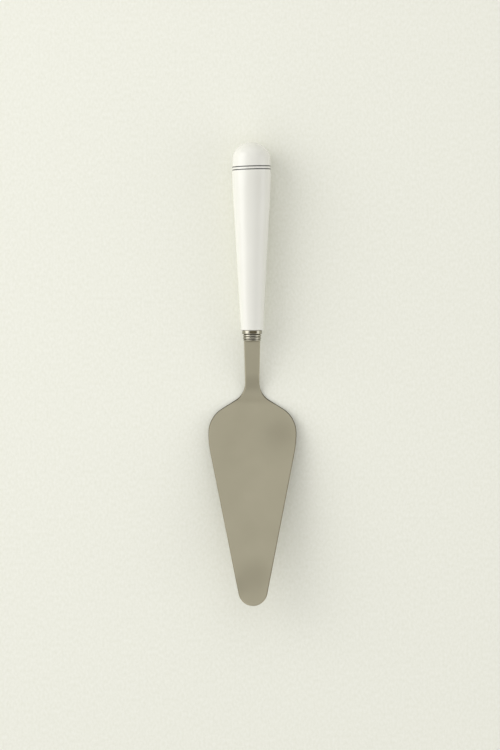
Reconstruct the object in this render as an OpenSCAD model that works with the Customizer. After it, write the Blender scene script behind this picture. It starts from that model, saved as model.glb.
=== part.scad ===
// Cake server: a porcelain handle with two fired colour bands, a ribbed steel ferrule,
// and a blade, shank and tang stamped from one sheet of stainless steel.
// It lies on its back as on a table: the butt's belly and the blade's heel touch z = 0.
// +Y points to the butt of the handle, -Y to the tip of the blade, +Z up.

/* [Handle] */
// Length of the porcelain handle, from its butt to the ferrule
handle_length = 101.7; // [80:0.1:130]
// Diameter at the widest place
handle_diameter = 20.9; // [18:0.1:24]
// Diameter of the end that the ferrule sits on
handle_end_diameter = 12.1; // [11:0.1:15]
// Distance from the butt to the widest place
belly_setback = 18.2; // [15:0.1:24]
// Radius of the long curve over the widest place
belly_radius = 150; // [100:5:300]
// Radius of the curve between the belly and the crown
dome_radius = 8; // [4:0.1:9]
// Length by which the radius of the crown, which closes the butt, exceeds the handle's
crown_margin = 0.55; // [0.3:0.05:4]
// Rounding of the edge at the ferrule's end
end_rounding = 0.6; // [0.2:0.1:1]
// Diameter of the blind bore for the tang
bore_diameter = 7; // [6.4:0.1:8]
// Solid porcelain left between the bore and the butt
butt_wall = 30; // [20:1:40]

/* [Colour bands] */
// Distance from the butt to the middle of the upper band
band_setback = 13.2; // [12:0.1:16]
// Distance between the middles of the two bands
band_pitch = 1.6; // [1:0.1:3]
// Width of each band
band_width = 0.55; // [0.3:0.05:0.8]
// Depth of the fired colour in the glaze
band_depth = 0.12; // [0.08:0.01:0.3]

/* [Ferrule] */
// Diameter of the wide rib against the handle
collar_diameter = 10.8; // [10:0.1:11]
// Diameter over the two round beads
bead_diameter = 9.9; // [9.8:0.1:10.4]
// Diameter at the feet of the beads and at the nose
foot_diameter = 9.7; // [9.2:0.1:9.7]
// Diameter at the bottom of the pointed grooves
groove_diameter = 8.6; // [7.6:0.1:8.8]
// Length of the wide rib
collar_length = 2; // [1:0.1:3]
// Rounding of the wide rib's edges
collar_rounding = 0.3; // [0.1:0.05:0.5]
// Length of each round bead
bead_length = 0.85; // [0.6:0.05:1.2]
// Length of the groove behind each bead
groove_length = 0.45; // [0.3:0.05:1]
// Length of the plain nose that the shank comes out of
nose_length = 1.2; // [1:0.1:2]
// Rounding of the nose's edge
nose_rounding = 0.8; // [0.3:0.05:0.9]
// Thickness of the wall that closes the nose around the tang
front_wall = 1.2; // [0.6:0.1:2]
// Length of the sleeve that reaches into the handle's bore
spigot_length = 4; // [2:0.5:8]
// Wall of that sleeve
spigot_wall = 0.5; // [0.4:0.05:0.8]

/* [Blade, seen from above] */
// Distance from the ferrule to the tip
reach = 142.5; // [120:0.1:170]
// Width over the shoulders
blade_width = 47.8; // [38:0.1:60]
// Distance from the ferrule to the widest place
shoulder_setback = 49.8; // [46:0.1:60]
// Radius of the shoulders
shoulder_radius = 15.5; // [10:0.1:18]
// Radius of the sides below the shoulders
side_radius = 53; // [30:1:120]
// Radius of the tip
tip_radius = 7.9; // [4:0.1:12]
// Angle between the flaring edge and the long axis
flare_angle = 58; // [48:1:64]
// Radius of the inside curve between the neck and the flare
neck_radius = 11.4; // [6:0.1:14]
// Width of the neck, where the shank meets the flare
neck_width = 7.7; // [6:0.1:9]
// Width of the shank at the ferrule
shank_width = 8.8; // [7:0.1:9]

/* [Sheet and bends] */
// Thickness of the sheet
stock = 1.2; // [0.8:0.1:1.6]
// Flat length between the ferrule and the first bend
lead = 0.5; // [0.4:0.1:3]
// Downward slope of the shank behind the ferrule
shank_angle = 14; // [12:0.5:18]
// Distance from the ferrule to the knuckle, where the shank steepens
knuckle_setback = 18.9; // [14:0.1:20.5]
// Distance from the ferrule to the heel, the low line that the blade rests on
heel_setback = 31.7; // [31:0.1:40]
// Upward slope of the blade
blade_angle = 13; // [5:0.5:20]
// Bend radius behind the ferrule, in the middle of the sheet
root_radius = 3; // [2:0.5:4]
// Bend radius of the knuckle
knuckle_radius = 16; // [8:1:30]
// Bend radius of the heel
heel_radius = 14; // [6:0.5:17]

/* [Tang] */
// Distance from the end of the tang to the bottom of the bore
tang_end_gap = 14; // [5:1:30]
// Depth of the notches that key the tang into the cement
notch_depth = 0.8; // [0.4:0.1:1.2]
// Length of each notch
notch_length = 3; // [1:0.5:5]
// Distance between neighbouring notches
notch_pitch = 12; // [6:1:14]
// Number of notches on each side
notch_count = 3; // [1:1:3]

/* [Hidden] */

// Gap all round a piece that is pushed into another
clearance = 0.1;
// Length by which a cutting shape passes the face that it cuts
overrun = 1;
// Straight steps that stand for one arc of an outline
arc_steps = 16;
$fn = 96;

ferrule_length = collar_length + 2 * (groove_length + bead_length) + nose_length;
overall_length = handle_length + ferrule_length + reach;
butt_y = overall_length / 2;
handle_end_y = butt_y - handle_length;
nose_y = handle_end_y - ferrule_length;
axis_z = handle_diameter / 2;

bore_depth = handle_length - butt_wall;
spigot_radius = bore_diameter / 2 - clearance;
cavity_radius = spigot_radius - spigot_wall;

// The tang is as wide as the sleeve's inside lets the sheet be
tang_half = sqrt(pow(cavity_radius - clearance, 2) - pow(stock / 2, 2));
tang_length = ferrule_length + bore_depth - tang_end_gap;

// Outline helpers

function arc(centre, radius, from, to) =
    [for (i = [0:arc_steps]) let (a = from + (to - from) * i / arc_steps)
        centre + radius * [cos(a), sin(a)]];

function reversed(points) = [for (i = [len(points) - 1:-1:0]) points[i]];

// The points right of the axis, followed by their mirror image
function both_sides(points) =
    concat(points, [for (p = reversed(points)) if (p[0] > 0) [-p[0], p[1]]]);

function unit(v) = v / norm(v);

function turn(u, v) = atan2(u[0] * v[1] - u[1] * v[0], u * v);

// The arc that rounds the corner q of the path p, q, s, moved sideways by shift to the left
function bend(p, q, s, radius, shift) =
    let (u = unit(q - p))
    let (angle = turn(u, unit(s - q)))
    let (side = sign(angle))
    let (start = q - radius * tan(abs(angle) / 2) * u)
    let (centre = start + side * radius * [-u[1], u[0]])
    let (from = atan2(u[1], u[0]) - side * 90)
    arc(centre, radius - side * shift, from, from + angle);

// Handle profile, as [radius, distance from the butt]
// The dome's circle lies inside the crown's and the belly's and touches both.

crown_radius = handle_diameter / 2 + crown_margin;
belly_centre = [handle_diameter / 2 - belly_radius, belly_setback];
crown_centre = [0, crown_radius];
crown_to_belly = belly_centre - crown_centre;
crown_to_dome = crown_radius - dome_radius;
belly_to_dome = belly_radius - dome_radius;
dome_along = (pow(norm(crown_to_belly), 2) + pow(crown_to_dome, 2) - pow(belly_to_dome, 2))
    / (2 * norm(crown_to_belly));
dome_across = sqrt(pow(crown_to_dome, 2) - pow(dome_along, 2));
dome_way = unit(crown_to_belly);
dome_centre = crown_centre + dome_along * dome_way + dome_across * [-dome_way[1], dome_way[0]];

function heading(from, to) = atan2(to[1] - from[1], to[0] - from[0]);

// The straight taper leaves the belly's circle where it points at the handle's end
handle_rim = [handle_end_diameter / 2, handle_length];
taper_start_angle = heading(belly_centre, handle_rim) - acos(belly_radius / norm(handle_rim - belly_centre));
taper_start = belly_centre + belly_radius * [cos(taper_start_angle), sin(taper_start_angle)];
handle_end_centre = [0, handle_length];

function handle_profile() = concat(
    arc(crown_centre, crown_radius, -90, heading(crown_centre, dome_centre)),
    arc(dome_centre, dome_radius, heading(crown_centre, dome_centre), heading(belly_centre, dome_centre)),
    arc(belly_centre, belly_radius, heading(belly_centre, dome_centre), 0),
    arc(belly_centre, belly_radius, 0, taper_start_angle),
    bend(taper_start, handle_rim, handle_end_centre, end_rounding, 0),
    [handle_end_centre]);

// Puts a shape drawn upright, with the butt at 0, along the server's axis
module along_axis(from_y) translate([0, from_y, axis_z]) rotate([90, 0, 0]) children();

module handle_body() along_axis(butt_y) rotate_extrude() polygon(handle_profile());

function belly_width_at(distance) =
    belly_centre[0] + sqrt(pow(belly_radius, 2) - pow(distance - belly_setback, 2));

// The ring of space that a colour band takes in the glaze
module band_space(setback) {
    along_axis(butt_y - setback + band_width / 2)
        difference() {
            cylinder(d = handle_diameter + overrun, h = band_width);
            translate([0, 0, -overrun])
                cylinder(r = belly_width_at(setback) - band_depth, h = band_width + 2 * overrun);
        }
}

// The blind bore, open at the ferrule's end
module bore_space() {
    along_axis(handle_end_y + bore_depth) cylinder(d = bore_diameter, h = bore_depth + overrun);
}

module handle() color("#f3f1e6") {
    difference() {
        handle_body();
        bore_space();
        band_space(band_setback);
        band_space(band_setback + band_pitch);
    }
}

module colour_band(setback) {
    intersection() {
        handle_body();
        band_space(setback);
    }
}

module upper_band() color("#565650") colour_band(band_setback);

module lower_band() color("#565650") colour_band(band_setback + band_pitch);

// Ferrule profile, as [radius, distance from the handle's end]

first_bead = collar_length + groove_length;
second_bead = first_bead + bead_length + groove_length;

// A round bead between two grooves, part of the circle through its feet and its crown
function bead(setback) =
    let (foot = foot_diameter / 2)
    let (rise = bead_diameter / 2 - foot)
    let (radius = (pow(bead_length / 2, 2) + pow(rise, 2)) / (2 * rise))
    let (centre = [bead_diameter / 2 - radius, setback + bead_length / 2])
    let (swing = atan2(bead_length / 2, foot - centre[0]))
    arc(centre, radius, -swing, swing);

// The bottom of the pointed groove between two ribs
function groove(from, to) = [[groove_diameter / 2, (from + to) / 2]];

collar_inside = collar_diameter / 2 - collar_rounding;
nose_start = ferrule_length - nose_rounding;

function ferrule_profile() = concat(
    [[0, 0]],
    arc([collar_inside, collar_rounding], collar_rounding, -90, 0),
    arc([collar_inside, collar_length - collar_rounding], collar_rounding, 0, 90),
    groove(collar_length, first_bead),
    bead(first_bead),
    groove(first_bead + bead_length, second_bead),
    bead(second_bead),
    groove(second_bead + bead_length, nose_start),
    arc([foot_diameter / 2 - nose_rounding, nose_start], nose_rounding, 0, 90),
    [[0, ferrule_length]]);

// The space inside the sleeve and the ferrule, open towards the bore
module cavity_space() {
    along_axis(handle_end_y + spigot_length + overrun)
        cylinder(r = cavity_radius, h = overrun + spigot_length + ferrule_length - front_wall);
}

// The slot that lets the tang through the ferrule's front wall
module tang_slot() {
    translate([-tang_half - clearance, nose_y - overrun, axis_z - stock / 2 - clearance])
        cube([2 * (tang_half + clearance), ferrule_length + overrun, stock + 2 * clearance]);
}

module ferrule() color("#cbc8c0") {
    difference() {
        union() {
            along_axis(handle_end_y) rotate_extrude() polygon(ferrule_profile());
            along_axis(handle_end_y + spigot_length)
                cylinder(r = spigot_radius, h = spigot_length + ferrule_length / 2);
        }
        cavity_space();
        tang_slot();
    }
}

// Blank of the blade from above, as [sideways, distance from the ferrule towards the butt]

shoulder_centre = [blade_width / 2 - shoulder_radius, -shoulder_setback];
side_centre = [blade_width / 2 - side_radius, -shoulder_setback];
tip_centre = [0, tip_radius - reach];
flare_normal = [cos(flare_angle), sin(flare_angle)];
neck_x = neck_width / 2 + neck_radius;
neck_y = (flare_normal * shoulder_centre + shoulder_radius + neck_radius - flare_normal[0] * neck_x)
    / flare_normal[1];
neck_centre = [neck_x, neck_y];

// Direction square to the straight edge that touches the side's circle and the tip's
side_to_tip = tip_centre - side_centre;
edge_angle = heading(side_centre, tip_centre) + acos((side_radius - tip_radius) / norm(side_to_tip));

notches_length = notch_length + (notch_count - 1) * notch_pitch;
notches_y = ferrule_length + (tang_length - ferrule_length + notches_length) / 2;

// The tang's right edge with its notches, from the far end to the ferrule
function tang_edge() = concat(
    [[tang_half, tang_length]],
    [for (i = [0:notch_count - 1]) let (y = notches_y - i * notch_pitch)
        each [[tang_half, y], [tang_half - notch_depth, y],
              [tang_half - notch_depth, y - notch_length], [tang_half, y - notch_length]]],
    [[tang_half, 0]]);

function blade_edge() = concat(
    [[shank_width / 2, 0]],
    arc(neck_centre, neck_radius, 180, 180 + flare_angle),
    arc(shoulder_centre, shoulder_radius, flare_angle, 0),
    arc(side_centre, side_radius, 0, edge_angle),
    arc(tip_centre, tip_radius, edge_angle, -90));

// Side view of the sheet, as [distance from the ferrule towards the tip, height]
// The steep stretch runs from the knuckle and touches the heel's circle, which stands on z = 0.

knuckle = [knuckle_setback, axis_z - (knuckle_setback - lead) * tan(shank_angle)];
heel_centre = [heel_setback, stock / 2 + heel_radius];
steep_angle = -heading(knuckle, heel_centre) + asin(heel_radius / norm(heel_centre - knuckle));
blade_start = [heel_setback + heel_radius * tan(blade_angle / 2), stock / 2];

function sheet_path() = [
    [-tang_length, axis_z],
    [lead, axis_z],
    knuckle,
    [heel_setback - heel_radius * tan(steep_angle / 2), stock / 2],
    blade_start,
    blade_start + reach * [cos(blade_angle), sin(blade_angle)]];

bend_radii = [root_radius, knuckle_radius, heel_radius, heel_radius];

// One face of the sheet, moved off its middle by shift
function sheet_face(shift) =
    let (path = sheet_path())
    concat(
        [path[0] + shift * [0, 1]],
        [for (i = [1:len(bend_radii)])
            each bend(path[i - 1], path[i], path[i + 1], bend_radii[i - 1], shift)],
        [path[len(path) - 1] + shift * [-sin(blade_angle), cos(blade_angle)]]);

// A straight strip of the sheet with all its bends, wider than the blade
module bent_strip() {
    rotate([90, 0, -90])
        linear_extrude(height = blade_width + 2 * overrun, center = true)
            polygon(concat(sheet_face(stock / 2), reversed(sheet_face(-stock / 2))));
}

module blade() color("#a19c87") {
    translate([0, nose_y, 0])
        intersection() {
            bent_strip();
            translate([0, 0, -overrun])
                linear_extrude(height = reach + overrun)
                    polygon(both_sides(concat(tang_edge(), blade_edge())));
        }
}

// Cement that fills the bore, the sleeve and the ferrule around the tang
module tang_cement() color("#d9d2c0") {
    difference() {
        union() {
            along_axis(handle_end_y + bore_depth)
                cylinder(d = bore_diameter, h = bore_depth - spigot_length);
            cavity_space();
        }
        translate([0, nose_y, axis_z - stock / 2])
            linear_extrude(height = stock) polygon(both_sides(tang_edge()));
    }
}

handle();
upper_band();
lower_band();
ferrule();
blade();
tang_cement();
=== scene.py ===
"""Looks of the cake server: a glazed porcelain handle with two fired bands, a turned steel ferrule
and a satin steel blade, with a paper table, soft studio light and a camera straight above.

The frame is +X across the blade, +Y towards the butt of the handle and +Z up from the table.
Lengths are in metres and angles in degrees. A size in millimetres is written as a number times MM."""
import math

import bmesh
import bpy
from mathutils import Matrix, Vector


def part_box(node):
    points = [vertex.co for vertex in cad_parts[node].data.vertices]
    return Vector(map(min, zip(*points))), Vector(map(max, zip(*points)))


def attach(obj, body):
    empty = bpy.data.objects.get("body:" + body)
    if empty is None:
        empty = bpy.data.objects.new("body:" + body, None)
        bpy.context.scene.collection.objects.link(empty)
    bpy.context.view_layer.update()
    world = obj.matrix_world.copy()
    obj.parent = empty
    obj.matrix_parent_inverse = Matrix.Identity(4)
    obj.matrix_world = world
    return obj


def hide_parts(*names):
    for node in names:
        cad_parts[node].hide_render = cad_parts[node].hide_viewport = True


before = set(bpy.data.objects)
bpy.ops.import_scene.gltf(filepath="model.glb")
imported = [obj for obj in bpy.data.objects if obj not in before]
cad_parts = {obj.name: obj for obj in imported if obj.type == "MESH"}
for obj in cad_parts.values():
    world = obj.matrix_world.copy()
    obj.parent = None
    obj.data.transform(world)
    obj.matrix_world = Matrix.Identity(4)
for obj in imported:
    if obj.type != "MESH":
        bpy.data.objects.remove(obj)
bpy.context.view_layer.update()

# Unit, and how finely the meshes are drawn
MM = 0.001
ARC_STEPS = 16
TURN_STEPS = 160
SHARP_ANGLE = 35
MERGE_DISTANCE = 0.001 * MM

# Places that the frame gives
handle_low, handle_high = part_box("handle")
ferrule_low, ferrule_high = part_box("ferrule")
cement_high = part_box("tang_cement")[1]
blade_low, blade_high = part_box("blade")
butt_y = handle_high.y
handle_end_y = handle_low.y
nose_y = ferrule_low.y
axis_z = (handle_low.z + handle_high.z) / 2
handle_radius = handle_high.x
handle_length = butt_y - handle_end_y
bore_radius = cement_high.x
bore_depth = cement_high.y - handle_end_y
ferrule_length = handle_end_y - nose_y
spigot_length = ferrule_high.y - handle_end_y
tang_length = blade_high.y - nose_y
reach = nose_y - blade_low.y
blade_half = blade_high.x

# Handle
BELLY_SETBACK = 18.2 * MM
BELLY_RADIUS = 150 * MM
DOME_RADIUS = 8 * MM
CROWN_MARGIN = 0.55 * MM
HANDLE_END_RADIUS = 6.05 * MM
END_ROUNDING = 0.6 * MM

# Fired bands
BAND_DEPTH = 0.12 * MM
BAND_PROUD = 0.015 * MM
BAND_SKEW = 1.6
BAND_STEPS = 4

# Ferrule
COLLAR_RADIUS = 5.4 * MM
BEAD_RADIUS = 4.95 * MM
FOOT_RADIUS = 4.85 * MM
GROOVE_RADIUS = 4.3 * MM
COLLAR_LENGTH = 2 * MM
COLLAR_ROUNDING = 0.3 * MM
BEAD_COUNT = 2
BEAD_LENGTH = 0.85 * MM
GROOVE_LENGTH = 0.45 * MM
NOSE_ROUNDING = 0.8 * MM
FRONT_WALL = 1.2 * MM
SPIGOT_RADIUS = 3.4 * MM
CAVITY_RADIUS = 2.9 * MM
TANG_CLEARANCE = 0.1 * MM
SLOT_CLEARANCE = 0.05 * MM

# Blade from above
SHOULDER_SETBACK = 49.8 * MM
SHOULDER_RADIUS = 15.5 * MM
SIDE_RADIUS = 53 * MM
TIP_RADIUS = 7.9 * MM
FLARE_ANGLE = 58
NECK_RADIUS = 11.4 * MM
NECK_HALF = 3.85 * MM
SHANK_HALF = 4.4 * MM

# Sheet and bends. A bend line that passes within CUT_SNAP of a point of the outline goes through it
STOCK = 1.2 * MM
LEAD = 0.5 * MM
SHANK_ANGLE = 14
KNUCKLE_SETBACK = 18.9 * MM
HEEL_SETBACK = 31.7 * MM
BLADE_ANGLE = 13
ROOT_RADIUS = 3 * MM
KNUCKLE_RADIUS = 16 * MM
HEEL_RADIUS = 14 * MM
CUT_SNAP = 0.15 * MM

# Cut edge of the sheet: the angle that tells it from a bend, its rounding, the largest upright part of
# its normals, its painted shade where it faces sideways, and how much more towards the handle
RIM_ANGLE = 60
EDGE_ROUNDING = 0.5 * MM
EDGE_STEPS = 4
FLATTEST_RIM = 0.5
RIM_SHADE_SIDE = 0.4
RIM_SHADE_REAR = 0.7

# Tang
NOTCH_DEPTH = 0.8 * MM
NOTCH_LENGTH = 3 * MM
NOTCH_PITCH = 12 * MM
NOTCH_COUNT = 3
tang_half = math.sqrt((CAVITY_RADIUS - TANG_CLEARANCE) ** 2 - (STOCK / 2) ** 2)

# Camera, from the scale and place of the server in the picture
PICTURE_WIDTH = 500
PICTURE_HEIGHT = 750
ORIGIN_PIXEL = (252.2, 373.5)
PIXELS_PER_MM = 1.842
CAMERA_HEIGHT = 2.6
CAMERA_ROLL = -0.2
FAR_CLIP = 4 * CAMERA_HEIGHT
SENSOR = 36

# Studio: the patches of the room are an azimuth, an elevation, the angles of their full and of their
# outer circle, and the light that they add to the room's level
TABLE_RADIUS = 12
TABLE_STEPS = 96
LAMP_AZIMUTH = 156
LAMP_ELEVATION = 28
LAMP_DISTANCE = 1.1
LAMP_SIZE = 1.15
LAMP_POWER = 1.95
LAMP_SPREAD = 100
ROOM_LEVEL = 0.68
ROOM_PATCHES = {
    "left wall": (230, 15, 15, 55, 0.78),
    "low left wall": (165, 8, 10, 45, 0.5),
    "right wall": (345, 11, 10, 42, 1.15),
    "back wall": (90, 14, 18, 40, 0.42),
    "dim front wall": (270, 28, 10, 31, -0.5),
    "ceiling": (90, 82, 10, 40, 0.14),
}

# Camera arm on the ceiling, in parts of the unit direction to it: half its width, its start and its
# end, each where the arm is full and where it has faded
ARM_COLOUR = "#7d725b"
ARM_HALF = 0.03
ARM_HALF_SOFT = 0.1
ARM_START = -0.38
ARM_START_SOFT = -0.52
ARM_END = 0.78
ARM_END_SOFT = 0.92


# Plane geometry

def arc(centre, radius, start, stop, steps=ARC_STEPS):
    """Points on an arc, from one angle to the other, in degrees."""
    angles = [math.radians(start + (stop - start) * i / steps) for i in range(steps + 1)]
    return [centre + radius * Vector((math.cos(a), math.sin(a))) for a in angles]


def heading(start, end):
    """Direction from one point to another, in degrees."""
    return math.degrees(math.atan2(end.y - start.y, end.x - start.x))


def bend(before, corner, after, radius):
    """The arc that rounds the corner of a path."""
    way_in = (corner - before).normalized()
    way_out = (after - corner).normalized()
    angle = math.degrees(math.atan2(way_in.cross(way_out), way_in.dot(way_out)))
    side = math.copysign(1, angle)
    start = corner - radius * math.tan(math.radians(abs(angle)) / 2) * way_in
    centre = start + side * radius * Vector((-way_in.y, way_in.x))
    first = heading(Vector((0, 0)), way_in) - side * 90
    return arc(centre, radius, first, first + angle)


# Mesh helpers

def turn(bm, outline, start_y, closed=False):
    """Spins an outline of radius and distance from start_y round the server's long axis."""
    verts = [bm.verts.new((p.x, start_y - p.y, axis_z)) for p in outline]
    pairs = list(zip(verts, verts[1:]))
    if closed:
        pairs.append((verts[-1], verts[0]))
    edges = [bm.edges.new(pair) for pair in pairs]
    bmesh.ops.spin(bm, geom=verts + edges, cent=(0, 0, axis_z), axis=(0, 1, 0),
                   angle=math.tau, steps=TURN_STEPS, use_merge=True)
    bmesh.ops.remove_doubles(bm, verts=bm.verts, dist=MERGE_DISTANCE)


def finish_piece(name, bm, material, node, sharp_angle=SHARP_ANGLE):
    """Makes an object of the mesh, which stands for a CAD node and rides with it."""
    bmesh.ops.recalc_face_normals(bm, faces=bm.faces)
    for face in bm.faces:
        face.smooth = True
    mesh = bpy.data.meshes.new(name)
    bm.to_mesh(mesh)
    bm.free()
    mesh.set_sharp_from_angle(angle=math.radians(sharp_angle))
    mesh.materials.append(material)
    piece = bpy.data.objects.new(name, mesh)
    bpy.context.scene.collection.objects.link(piece)
    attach(piece, "root")
    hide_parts(node)
    return piece


# Numbers of a colour mix's sockets, whose names repeat for other kinds of data
FACTOR = 0
FIRST = 6
SECOND = 7
MIXED = 2


# Material helpers

def linear(hex_colour):
    """An sRGB hex colour as linear red, green, blue and alpha."""
    shares = [int(hex_colour[i:i + 2], 16) / 255 for i in (1, 3, 5)]
    return [s / 12.92 if s <= 0.04045 else ((s + 0.055) / 1.055) ** 2.4 for s in shares] + [1]


def add(tree, kind, inputs=None, **settings):
    """Adds a node, with its settings and with values or links on its inputs."""
    node = tree.nodes.new(kind)
    for name, value in settings.items():
        setattr(node, name, value)
    for socket, value in (inputs or {}).items():
        if isinstance(value, bpy.types.NodeSocket):
            tree.links.new(value, node.inputs[socket])
        else:
            node.inputs[socket].default_value = value
    return node


def new_material(name):
    """An empty material with its node tree, its output and its object coordinates."""
    material = bpy.data.materials.new(name)
    material.use_nodes = True
    tree = material.node_tree
    tree.nodes.clear()
    output = add(tree, "ShaderNodeOutputMaterial")
    place = add(tree, "ShaderNodeTexCoord").outputs["Object"]
    return material, tree, output, place


# Materials

def glazed_porcelain():
    """Slip-cast porcelain under a clear glaze: a warm white with soft clouds, and a wet gloss that
    the faint ripple of the fired glaze breaks a little."""
    cloud_size = 18 * MM
    ripple_size = 2.5 * MM
    material, tree, output, place = new_material("glazed_porcelain")
    clouds = add(tree, "ShaderNodeTexNoise", {"Vector": place, "Scale": 1 / cloud_size, "Detail": 3})
    colour = add(tree, "ShaderNodeMix",
                 {FACTOR: clouds.outputs["Fac"], FIRST: linear("#dddcd3"), SECOND: linear("#e2e1d9")},
                 data_type="RGBA")
    ripple = add(tree, "ShaderNodeTexNoise", {"Vector": place, "Scale": 1 / ripple_size, "Detail": 2})
    gloss = add(tree, "ShaderNodeMapRange",
                {"Value": ripple.outputs["Fac"], "To Min": 0.10, "To Max": 0.17})
    bump = add(tree, "ShaderNodeBump",
               {"Height": ripple.outputs["Fac"], "Strength": 0.05, "Distance": 0.1 * MM})
    shader = add(tree, "ShaderNodeBsdfPrincipled",
                 {"Base Color": colour.outputs[MIXED], "Roughness": gloss.outputs["Result"],
                  "IOR": 1.5, "Normal": bump.outputs["Normal"]})
    tree.links.new(shader.outputs["BSDF"], output.inputs["Surface"])
    return material


def fired_band_colour():
    """Dark grey ceramic colour fired into the glaze: glossy as the glaze, a little thin in places."""
    speckle_size = 0.4 * MM
    material, tree, output, place = new_material("fired_band_colour")
    speckle = add(tree, "ShaderNodeTexNoise",
                  {"Vector": place, "Scale": 1 / speckle_size, "Detail": 4})
    colour = add(tree, "ShaderNodeMix",
                 {FACTOR: speckle.outputs["Fac"], FIRST: linear("#242422"), SECOND: linear("#3a3a37")},
                 data_type="RGBA")
    gloss = add(tree, "ShaderNodeMapRange",
                {"Value": speckle.outputs["Fac"], "To Min": 0.14, "To Max": 0.26})
    shader = add(tree, "ShaderNodeBsdfPrincipled",
                 {"Base Color": colour.outputs[MIXED], "Roughness": gloss.outputs["Result"],
                  "IOR": 1.5})
    tree.links.new(shader.outputs["BSDF"], output.inputs["Surface"])
    return material


def polished_steel():
    """Turned and buffed stainless steel: a bright mirror with fine rings round the axis."""
    ring_pitch = 0.25 * MM
    smear_size = 3 * MM
    material, tree, output, place = new_material("polished_stainless_steel")
    stretch = add(tree, "ShaderNodeMapping",
                  {"Vector": place, "Scale": (1 / smear_size, 1 / ring_pitch, 1 / smear_size)})
    rings = add(tree, "ShaderNodeTexNoise",
                {"Vector": stretch.outputs["Vector"], "Scale": 1, "Detail": 3})
    gloss = add(tree, "ShaderNodeMapRange",
                {"Value": rings.outputs["Fac"], "To Min": 0.08, "To Max": 0.16})
    colour = add(tree, "ShaderNodeMix",
                 {FACTOR: rings.outputs["Fac"], FIRST: linear("#9e9a8c"), SECOND: linear("#aaa698")},
                 data_type="RGBA")
    bump = add(tree, "ShaderNodeBump",
               {"Height": rings.outputs["Fac"], "Strength": 0.08, "Distance": 0.02 * MM})
    shader = add(tree, "ShaderNodeBsdfPrincipled",
                 {"Base Color": colour.outputs[MIXED], "Metallic": 1,
                  "Roughness": gloss.outputs["Result"], "Normal": bump.outputs["Normal"]})
    tree.links.new(shader.outputs["BSDF"], output.inputs["Surface"])
    return material


def satin_steel():
    """Stainless sheet with a satin finish: a soft, cloudy sheen, darker in soft spots at one shoulder
    and near the tip, and a fine grain along the blade. The real grain is too fine to show, so it is
    drawn coarser. The rounded cut edge has painted shade: a dark line painted into its colour, darkest
    where it faces the handle and lighter towards the tip. A dark spot is a place across and along the
    blade, a radius and a strength."""
    cloud_size = 20 * MM
    grain_width = 0.3 * MM
    grain_length = 6 * MM
    # Soft spots where the blade is darker, at one shoulder and near the tip
    dark_spots = [(16 * MM, -32 * MM, 12 * MM, 0.35), (11 * MM, -34 * MM, 18 * MM, 0.3),
               (0, -110 * MM, 14 * MM, 0.5), (-8 * MM, -114 * MM, 8 * MM, 0.5)]
    material, tree, output, place = new_material("satin_stainless_steel")
    clouds = add(tree, "ShaderNodeTexNoise", {"Vector": place, "Scale": 1 / cloud_size, "Detail": 2})
    stretch = add(tree, "ShaderNodeMapping",
                  {"Vector": place, "Scale": (1 / grain_width, 1 / grain_length, 1 / grain_width)})
    grain = add(tree, "ShaderNodeTexNoise",
                {"Vector": stretch.outputs["Vector"], "Scale": 1, "Detail": 4})
    colour = add(tree, "ShaderNodeMix",
                 {FACTOR: clouds.outputs["Fac"], FIRST: linear("#aaa48e"), SECOND: linear("#b7b19b")},
                 data_type="RGBA")
    from_above = add(tree, "ShaderNodeVectorMath", {0: place, 1: (1, 1, 0)}, operation="MULTIPLY")
    for x, y, radius, strength in dark_spots:
        off = add(tree, "ShaderNodeVectorMath", {0: from_above.outputs["Vector"], 1: (x, y, 0)},
                  operation="DISTANCE")
        dark_spot = add(tree, "ShaderNodeMapRange",
                     {"Value": off.outputs["Value"], "From Min": radius, "From Max": 0,
                      "To Max": strength},
                     interpolation_type="SMOOTHSTEP")
        colour = add(tree, "ShaderNodeMix",
                     {FACTOR: dark_spot.outputs["Result"], FIRST: colour.outputs[MIXED],
                      SECOND: linear("#9d9783")},
                     data_type="RGBA")
    # Painted shade: the rounded cut edge is mixed towards a dark colour by its attribute
    painted_rim_shade = add(tree, "ShaderNodeAttribute", attribute_name="painted_rim_shade")
    colour = add(tree, "ShaderNodeMix",
                 {FACTOR: painted_rim_shade.outputs["Fac"], FIRST: colour.outputs[MIXED],
                  SECOND: linear("#3b3324")},
                 data_type="RGBA")
    gloss = add(tree, "ShaderNodeMapRange",
                {"Value": grain.outputs["Fac"], "To Min": 0.40, "To Max": 0.50})
    bump = add(tree, "ShaderNodeBump",
               {"Height": grain.outputs["Fac"], "Strength": 0.06, "Distance": 0.05 * MM})
    shader = add(tree, "ShaderNodeBsdfPrincipled",
                 {"Base Color": colour.outputs[MIXED], "Metallic": 1,
                  "Roughness": gloss.outputs["Result"], "Normal": bump.outputs["Normal"]})
    tree.links.new(shader.outputs["BSDF"], output.inputs["Surface"])
    return material


def set_cement():
    """Set cement: matte and pale, with sandy grains."""
    grit_size = 0.5 * MM
    material, tree, output, place = new_material("set_cement")
    grit = add(tree, "ShaderNodeTexNoise", {"Vector": place, "Scale": 1 / grit_size, "Detail": 6})
    colour = add(tree, "ShaderNodeMix",
                 {FACTOR: grit.outputs["Fac"], FIRST: linear("#b9b09a"), SECOND: linear("#d9d2c0")},
                 data_type="RGBA")
    bump = add(tree, "ShaderNodeBump",
               {"Height": grit.outputs["Fac"], "Strength": 0.4, "Distance": 0.1 * MM})
    shader = add(tree, "ShaderNodeBsdfPrincipled",
                 {"Base Color": colour.outputs[MIXED], "Roughness": 0.9,
                  "Normal": bump.outputs["Normal"]})
    tree.links.new(shader.outputs["BSDF"], output.inputs["Surface"])
    return material


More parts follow.
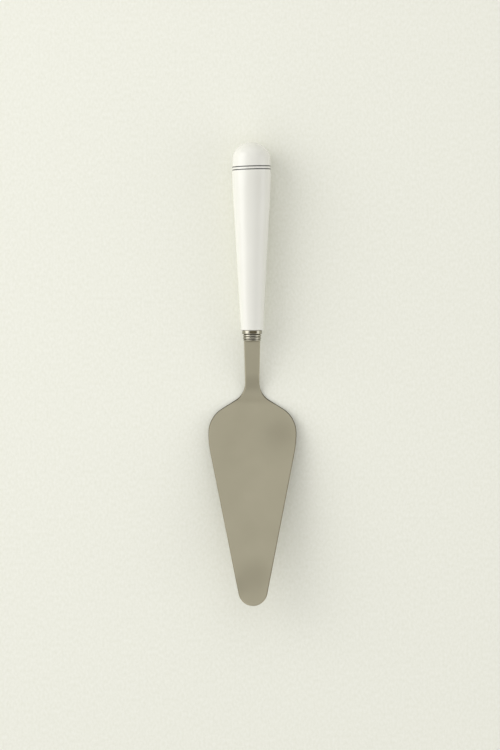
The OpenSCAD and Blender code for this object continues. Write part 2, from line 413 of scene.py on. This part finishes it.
def felt_paper():
    """Heavy cream drawing paper: matte, with the low, soft relief of the felt it was pressed on, which
    is a little longer along the sheet than across it."""
    felt_width = 1.3 * MM
    felt_length = 2 * MM
    material, tree, output, place = new_material("felt_paper")
    stretch = add(tree, "ShaderNodeMapping",
                  {"Vector": place, "Scale": (1 / felt_width, 1 / felt_length, 1 / felt_width)})
    felt = add(tree, "ShaderNodeTexNoise",
               {"Vector": stretch.outputs["Vector"], "Scale": 1, "Detail": 4})
    tone = add(tree, "ShaderNodeMapRange",
               {"Value": felt.outputs["Fac"], "From Min": 0.2, "From Max": 0.8})
    colour = add(tree, "ShaderNodeMix",
                 {FACTOR: tone.outputs["Result"], FIRST: linear("#e4e4d7"), SECOND: linear("#eeeee4")},
                 data_type="RGBA")
    bump = add(tree, "ShaderNodeBump",
               {"Height": felt.outputs["Fac"], "Strength": 0.25, "Distance": 0.3 * MM})
    shader = add(tree, "ShaderNodeBsdfPrincipled",
                 {"Base Color": colour.outputs[MIXED], "Roughness": 0.95, "Specular IOR Level": 0.1,
                  "Normal": bump.outputs["Normal"]})
    tree.links.new(shader.outputs["BSDF"], output.inputs["Surface"])
    return material


# Pieces

belly_centre = Vector((handle_radius - BELLY_RADIUS, BELLY_SETBACK))


def belly_angle(distance):
    """Angle on the belly's circle at a distance from the butt."""
    return math.degrees(math.asin((distance - BELLY_SETBACK) / BELLY_RADIUS))


def on_belly(distance, outwards=0.0):
    """A point of the belly's curve, moved outwards from the axis."""
    angle = math.radians(belly_angle(distance))
    point = belly_centre + BELLY_RADIUS * Vector((math.cos(angle), math.sin(angle)))
    return point + Vector((outwards, 0))


def band_span(node):
    """Distances from the butt to a band's two edges."""
    low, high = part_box(node)
    return butt_y - high.y, butt_y - low.y


band_spans = [band_span("upper_band"), band_span("lower_band")]


def skew_bands(bm):
    """Tilts the rings of points between the outer edges of the bands a little across the handle."""
    top = butt_y - band_spans[0][0] + MERGE_DISTANCE
    bottom = butt_y - band_spans[-1][1] - MERGE_DISTANCE
    slope = math.tan(math.radians(BAND_SKEW))
    for vert in bm.verts:
        if bottom < vert.co.y < top:
            vert.co.y += slope * vert.co.x


def handle_outline():
    """Half of the handle's section, from the middle of the crown to the bottom of the bore."""
    crown_radius = handle_radius + CROWN_MARGIN
    crown_centre = Vector((0, crown_radius))
    way = belly_centre - crown_centre
    crown_to_dome = crown_radius - DOME_RADIUS
    belly_to_dome = BELLY_RADIUS - DOME_RADIUS
    along = (way.length_squared + crown_to_dome ** 2 - belly_to_dome ** 2) / (2 * way.length)
    across = math.sqrt(crown_to_dome ** 2 - along ** 2)
    way.normalize()
    dome_centre = crown_centre + along * way + across * Vector((-way.y, way.x))

    rim = Vector((HANDLE_END_RADIUS, handle_length))
    to_rim = rim - belly_centre
    taper_angle = heading(belly_centre, rim) - math.degrees(math.acos(BELLY_RADIUS / to_rim.length))
    taper_start = arc(belly_centre, BELLY_RADIUS, taper_angle, taper_angle, 1)[0]

    crown_end = heading(crown_centre, dome_centre)
    angle = heading(belly_centre, dome_centre)
    outline = arc(crown_centre, crown_radius, -90, crown_end)
    outline += arc(dome_centre, DOME_RADIUS, crown_end, angle)[1:]
    for near, far in band_spans:
        outline += arc(belly_centre, BELLY_RADIUS, angle, belly_angle(near), BAND_STEPS)[1:]
        outline += [on_belly(near, -BAND_DEPTH), on_belly(far, -BAND_DEPTH), on_belly(far)]
        angle = belly_angle(far)
    outline += arc(belly_centre, BELLY_RADIUS, angle, taper_angle)[1:]
    outline += bend(taper_start, rim, Vector((0, handle_length)), END_ROUNDING)
    outline += [Vector((bore_radius, handle_length)), Vector((bore_radius, handle_length - bore_depth)),
                Vector((0, handle_length - bore_depth))]
    return outline


def porcelain_handle():
    """The turned porcelain handle, with its bore and the shallow grooves of its two bands."""
    bm = bmesh.new()
    turn(bm, handle_outline(), butt_y)
    skew_bands(bm)
    finish_piece("porcelain_handle", bm, glazed_porcelain(), "handle")


def fired_band(name, node, material):
    """A ring of fired colour in its groove, a hair proud of the glaze."""
    near, far = band_span(node)
    ring = [on_belly(near, -BAND_DEPTH), on_belly(near, BAND_PROUD),
            on_belly(far, BAND_PROUD), on_belly(far, -BAND_DEPTH)]
    bm = bmesh.new()
    turn(bm, ring, butt_y, closed=True)
    skew_bands(bm)
    finish_piece(name, bm, material, node)


def ferrule_outline():
    """Half of the ferrule's section, from the cavity's front round the outside to the nose."""
    inside = COLLAR_RADIUS - COLLAR_ROUNDING
    rise = BEAD_RADIUS - FOOT_RADIUS
    bead_curve = ((BEAD_LENGTH / 2) ** 2 + rise ** 2) / (2 * rise)
    bead_x = BEAD_RADIUS - bead_curve
    swing = math.degrees(math.atan2(BEAD_LENGTH / 2, FOOT_RADIUS - bead_x))
    outline = [Vector((CAVITY_RADIUS, ferrule_length - FRONT_WALL)),
               Vector((CAVITY_RADIUS, -spigot_length)),
               Vector((SPIGOT_RADIUS, -spigot_length)),
               Vector((SPIGOT_RADIUS, 0))]
    outline += arc(Vector((inside, COLLAR_ROUNDING)), COLLAR_ROUNDING, -90, 0)
    outline += arc(Vector((inside, COLLAR_LENGTH - COLLAR_ROUNDING)), COLLAR_ROUNDING, 0, 90)
    along = COLLAR_LENGTH
    for _ in range(BEAD_COUNT):
        outline.append(Vector((GROOVE_RADIUS, along + GROOVE_LENGTH / 2)))
        along += GROOVE_LENGTH + BEAD_LENGTH
        outline += arc(Vector((bead_x, along - BEAD_LENGTH / 2)), bead_curve, -swing, swing)
    nose = Vector((FOOT_RADIUS - NOSE_ROUNDING, ferrule_length - NOSE_ROUNDING))
    outline.append(Vector((GROOVE_RADIUS, (along + nose.y) / 2)))
    outline += arc(nose, NOSE_ROUNDING, 0, 90)
    return outline


def steel_ferrule():
    """The turned ferrule, with its sleeve, its cavity and the slot that lets the tang through."""
    bm = bmesh.new()
    turn(bm, ferrule_outline(), handle_end_y)
    half_width = tang_half + SLOT_CLEARANCE
    half_height = STOCK / 2 + SLOT_CLEARANCE
    slot_edges = []
    for y in (nose_y, nose_y + FRONT_WALL):
        rim = [e for e in bm.edges if e.is_boundary and abs(e.verts[0].co.y - y) < MERGE_DISTANCE]
        corners = [bm.verts.new((x * half_width, y, axis_z + z * half_height))
                   for x, z in ((-1, -1), (1, -1), (1, 1), (-1, 1))]
        slot = [bm.edges.new((corners[i - 1], corners[i])) for i in range(len(corners))]
        bmesh.ops.triangle_fill(bm, use_beauty=True, edges=rim + slot)
        slot_edges += slot
    bmesh.ops.bridge_loops(bm, edges=slot_edges)
    finish_piece("steel_ferrule", bm, polished_steel(), "ferrule")


def tang_edge():
    """The tang's right edge with its notches, from its far end to the ferrule's nose."""
    buried = tang_length - ferrule_length
    notches = NOTCH_LENGTH + (NOTCH_COUNT - 1) * NOTCH_PITCH
    first = ferrule_length + (buried + notches) / 2
    edge = [Vector((tang_half, tang_length))]
    for i in range(NOTCH_COUNT):
        y = first - i * NOTCH_PITCH
        edge += [Vector((tang_half, y)),
                 Vector((tang_half - NOTCH_DEPTH, y)),
                 Vector((tang_half - NOTCH_DEPTH, y - NOTCH_LENGTH)),
                 Vector((tang_half, y - NOTCH_LENGTH))]
    return edge + [Vector((tang_half, 0))]


def blade_edge():
    """The right edge of shank and blade, from the ferrule's nose to the middle of the tip."""
    shoulder = Vector((blade_half - SHOULDER_RADIUS, -SHOULDER_SETBACK))
    side = Vector((blade_half - SIDE_RADIUS, -SHOULDER_SETBACK))
    tip = Vector((0, TIP_RADIUS - reach))
    flare = math.radians(FLARE_ANGLE)
    normal = Vector((math.cos(flare), math.sin(flare)))
    neck_x = NECK_HALF + NECK_RADIUS
    neck_y = (normal.dot(shoulder) + SHOULDER_RADIUS + NECK_RADIUS - normal.x * neck_x) / normal.y
    lean = math.degrees(math.acos((SIDE_RADIUS - TIP_RADIUS) / (tip - side).length))
    edge_angle = heading(side, tip) + lean
    edge = [Vector((SHANK_HALF, 0))]
    edge += arc(Vector((neck_x, neck_y)), NECK_RADIUS, 180, 180 + FLARE_ANGLE, 2 * ARC_STEPS)
    edge += arc(shoulder, SHOULDER_RADIUS, FLARE_ANGLE, 0, 2 * ARC_STEPS)
    edge += arc(side, SIDE_RADIUS, 0, edge_angle)[1:]
    edge += arc(tip, TIP_RADIUS, edge_angle, -90, 2 * ARC_STEPS)
    return edge


def sheet_line():
    """The middle of the bent sheet from the side, as distance from the nose and height."""
    rise = math.radians(BLADE_ANGLE)
    knuckle_drop = (KNUCKLE_SETBACK - LEAD) * math.tan(math.radians(SHANK_ANGLE))
    knuckle = Vector((KNUCKLE_SETBACK, axis_z - knuckle_drop))
    heel = Vector((HEEL_SETBACK, STOCK / 2 + HEEL_RADIUS))
    steep = math.asin(HEEL_RADIUS / (heel - knuckle).length) - math.radians(heading(knuckle, heel))
    heel_start = Vector((HEEL_SETBACK - HEEL_RADIUS * math.tan(steep / 2), STOCK / 2))
    heel_end = Vector((HEEL_SETBACK + HEEL_RADIUS * math.tan(rise / 2), STOCK / 2))
    beyond_tip = heel_end + reach * Vector((math.cos(rise), math.sin(rise)))
    path = [Vector((-tang_length, axis_z)), Vector((LEAD, axis_z)), knuckle,
            heel_start, heel_end, beyond_tip]
    radii = [ROOT_RADIUS, KNUCKLE_RADIUS, HEEL_RADIUS, HEEL_RADIUS]
    line = [path[0]]
    for i, radius in enumerate(radii):
        line += bend(path[i], path[i + 1], path[i + 2], radius)
    return line + [path[-1]]


def height_on(line, distance):
    """Height of the sheet's line at a distance from the nose."""
    for start, end in zip(line, line[1:]):
        if distance <= end.x:
            break
    share = (distance - start.x) / max(end.x - start.x, MERGE_DISTANCE)
    return start.y + share * (end.y - start.y)


def steel_blade():
    """Blade, shank and tang: a blank cut from sheet, bent on its lines and rounded on its edges. An
    attribute holds the painted shade of the rounded edge at each point: a dark line painted into its
    colour."""
    edge = tang_edge() + blade_edge()
    mirrored = [Vector((-p.x, p.y)) for p in reversed(edge) if p.x > MERGE_DISTANCE]
    line = sheet_line()
    bm = bmesh.new()
    painted_rim_shade = bm.verts.layers.float.new("painted_rim_shade")
    blank = [bm.verts.new((p.x, nose_y + p.y, 0)) for p in edge + mirrored]
    bm.faces.new(blank)
    for point in line[1:-1]:
        bmesh.ops.bisect_plane(bm, geom=bm.verts[:] + bm.edges[:] + bm.faces[:], dist=CUT_SNAP,
                               plane_co=(0, nose_y - point.x, 0), plane_no=(0, 1, 0))
    for vert in bm.verts:
        vert.co.z = height_on(line, nose_y - vert.co.y)
    bmesh.ops.recalc_face_normals(bm, faces=bm.faces)
    bm.normal_update()
    if bm.faces[0].normal.z < 0:
        bmesh.ops.reverse_faces(bm, faces=bm.faces)
    bm.normal_update()
    for vert in bm.verts:
        vert.co += vert.normal * STOCK / 2
    bmesh.ops.solidify(bm, geom=bm.faces[:], thickness=STOCK)
    rims = [e for e in bm.edges
            if e.is_manifold and e.calc_face_angle() > math.radians(RIM_ANGLE)
            and max(v.co.y for v in e.verts) < nose_y - MERGE_DISTANCE]
    rounded = bmesh.ops.bevel(bm, geom=rims, offset=EDGE_ROUNDING, segments=EDGE_STEPS, profile=0.5,
                              affect="EDGES", material=-1, clamp_overlap=False)
    bm.normal_update()
    rounding = set(rounded["faces"])
    # Painted shade on the rounding: dark at the sides, and darker still where it faces the handle
    for vert in bm.verts:
        on_sheet = any(f not in rounding and abs(f.normal.z) > FLATTEST_RIM for f in vert.link_faces)
        if not on_sheet:
            rearwards = vert.normal.xy.normalized().y
            vert[painted_rim_shade] = min(max(RIM_SHADE_SIDE + RIM_SHADE_REAR * rearwards, 0), 1)
    piece = finish_piece("steel_blade", bm, satin_steel(), "blade", RIM_ANGLE)
    piece.modifiers.new("even_normals", "WEIGHTED_NORMAL").keep_sharp = True


# Stage, light and camera

def paper_table():
    """A wide sheet of paper under the server."""
    bm = bmesh.new()
    bmesh.ops.create_circle(bm, cap_ends=True, segments=TABLE_STEPS, radius=TABLE_RADIUS)
    mesh = bpy.data.meshes.new("paper_table")
    bm.to_mesh(mesh)
    bm.free()
    mesh.materials.append(felt_paper())
    table = bpy.data.objects.new("paper_table", mesh)
    bpy.context.scene.collection.objects.link(table)


def towards(azimuth, elevation):
    """Direction of an azimuth and an elevation, in degrees."""
    azimuth, elevation = math.radians(azimuth), math.radians(elevation)
    return Vector((math.cos(azimuth) * math.cos(elevation), math.sin(azimuth) * math.cos(elevation),
                   math.sin(elevation)))


def key_lamp():
    """A wide lamp on the left, with a grid that narrows its light."""
    data = bpy.data.lights.new("key_lamp", "AREA")
    data.shape = "DISK"
    data.size = LAMP_SIZE
    data.energy = LAMP_POWER
    data.spread = math.radians(LAMP_SPREAD)
    lamp = bpy.data.objects.new("key_lamp", data)
    way = towards(LAMP_AZIMUTH, LAMP_ELEVATION)
    lamp.location = LAMP_DISTANCE * way
    lamp.rotation_euler = way.to_track_quat("Z", "Y").to_euler()
    bpy.context.scene.collection.objects.link(lamp)


def studio_room():
    """A pale room with soft lighter and darker walls. The dark arm that holds the camera reaches across
    its ceiling from left to right."""
    world = bpy.data.worlds.new("studio_room")
    bpy.context.scene.world = world
    world.use_nodes = True
    tree = world.node_tree
    tree.nodes.clear()
    way = add(tree, "ShaderNodeTexCoord").outputs["Generated"]
    level = ROOM_LEVEL
    for azimuth, elevation, full, outer, strength in ROOM_PATCHES.values():
        near = add(tree, "ShaderNodeVectorMath", {0: way, 1: towards(azimuth, elevation)},
                   operation="DOT_PRODUCT")
        patch = add(tree, "ShaderNodeMapRange",
                    {"Value": near.outputs["Value"], "From Min": math.cos(math.radians(outer)),
                     "From Max": math.cos(math.radians(full)), "To Max": strength},
                    interpolation_type="SMOOTHSTEP")
        total = add(tree, "ShaderNodeMath", {0: level, 1: patch.outputs["Result"]}, operation="ADD")
        level = total.outputs["Value"]
    split = add(tree, "ShaderNodeSeparateXYZ", {"Vector": way})
    off = add(tree, "ShaderNodeMath", {0: split.outputs["Y"]}, operation="ABSOLUTE")
    arm = 1
    for value, soft, hard in ((off.outputs["Value"], ARM_HALF_SOFT, ARM_HALF),
                              (split.outputs["X"], ARM_START_SOFT, ARM_START),
                              (split.outputs["X"], ARM_END_SOFT, ARM_END)):
        edge = add(tree, "ShaderNodeMapRange",
                   {"Value": value, "From Min": soft, "From Max": hard, "To Max": arm},
                   interpolation_type="SMOOTHSTEP")
        arm = edge.outputs["Result"]
    room = add(tree, "ShaderNodeMix", {FACTOR: arm, FIRST: level, SECOND: linear(ARM_COLOUR)},
               data_type="RGBA")
    light = add(tree, "ShaderNodeBackground", {"Color": room.outputs[MIXED]})
    output = add(tree, "ShaderNodeOutputWorld")
    tree.links.new(light.outputs["Background"], output.inputs["Surface"])


def overhead_camera():
    """A long lens straight above the table, at the picture's scale and place."""
    pixel = MM / PIXELS_PER_MM
    data = bpy.data.cameras.new("overhead_camera")
    data.sensor_width = SENSOR
    data.lens = SENSOR * CAMERA_HEIGHT / (pixel * PICTURE_HEIGHT)
    data.clip_end = FAR_CLIP
    camera = bpy.data.objects.new("overhead_camera", data)
    camera.location = ((PICTURE_WIDTH / 2 - ORIGIN_PIXEL[0]) * pixel,
                       (ORIGIN_PIXEL[1] - PICTURE_HEIGHT / 2) * pixel, CAMERA_HEIGHT)
    camera.rotation_euler = (0, 0, math.radians(CAMERA_ROLL))
    bpy.context.scene.collection.objects.link(camera)
    bpy.context.scene.camera = camera


overhead_camera()
porcelain_handle()
band_colour = fired_band_colour()
fired_band("fired_band_upper", "upper_band", band_colour)
fired_band("fired_band_lower", "lower_band", band_colour)
steel_ferrule()
steel_blade()
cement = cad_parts["tang_cement"]
cement.data.materials.clear()
cement.data.materials.append(set_cement())
paper_table()
key_lamp()
studio_room()
bpy.context.scene.view_settings.view_transform = "Standard"
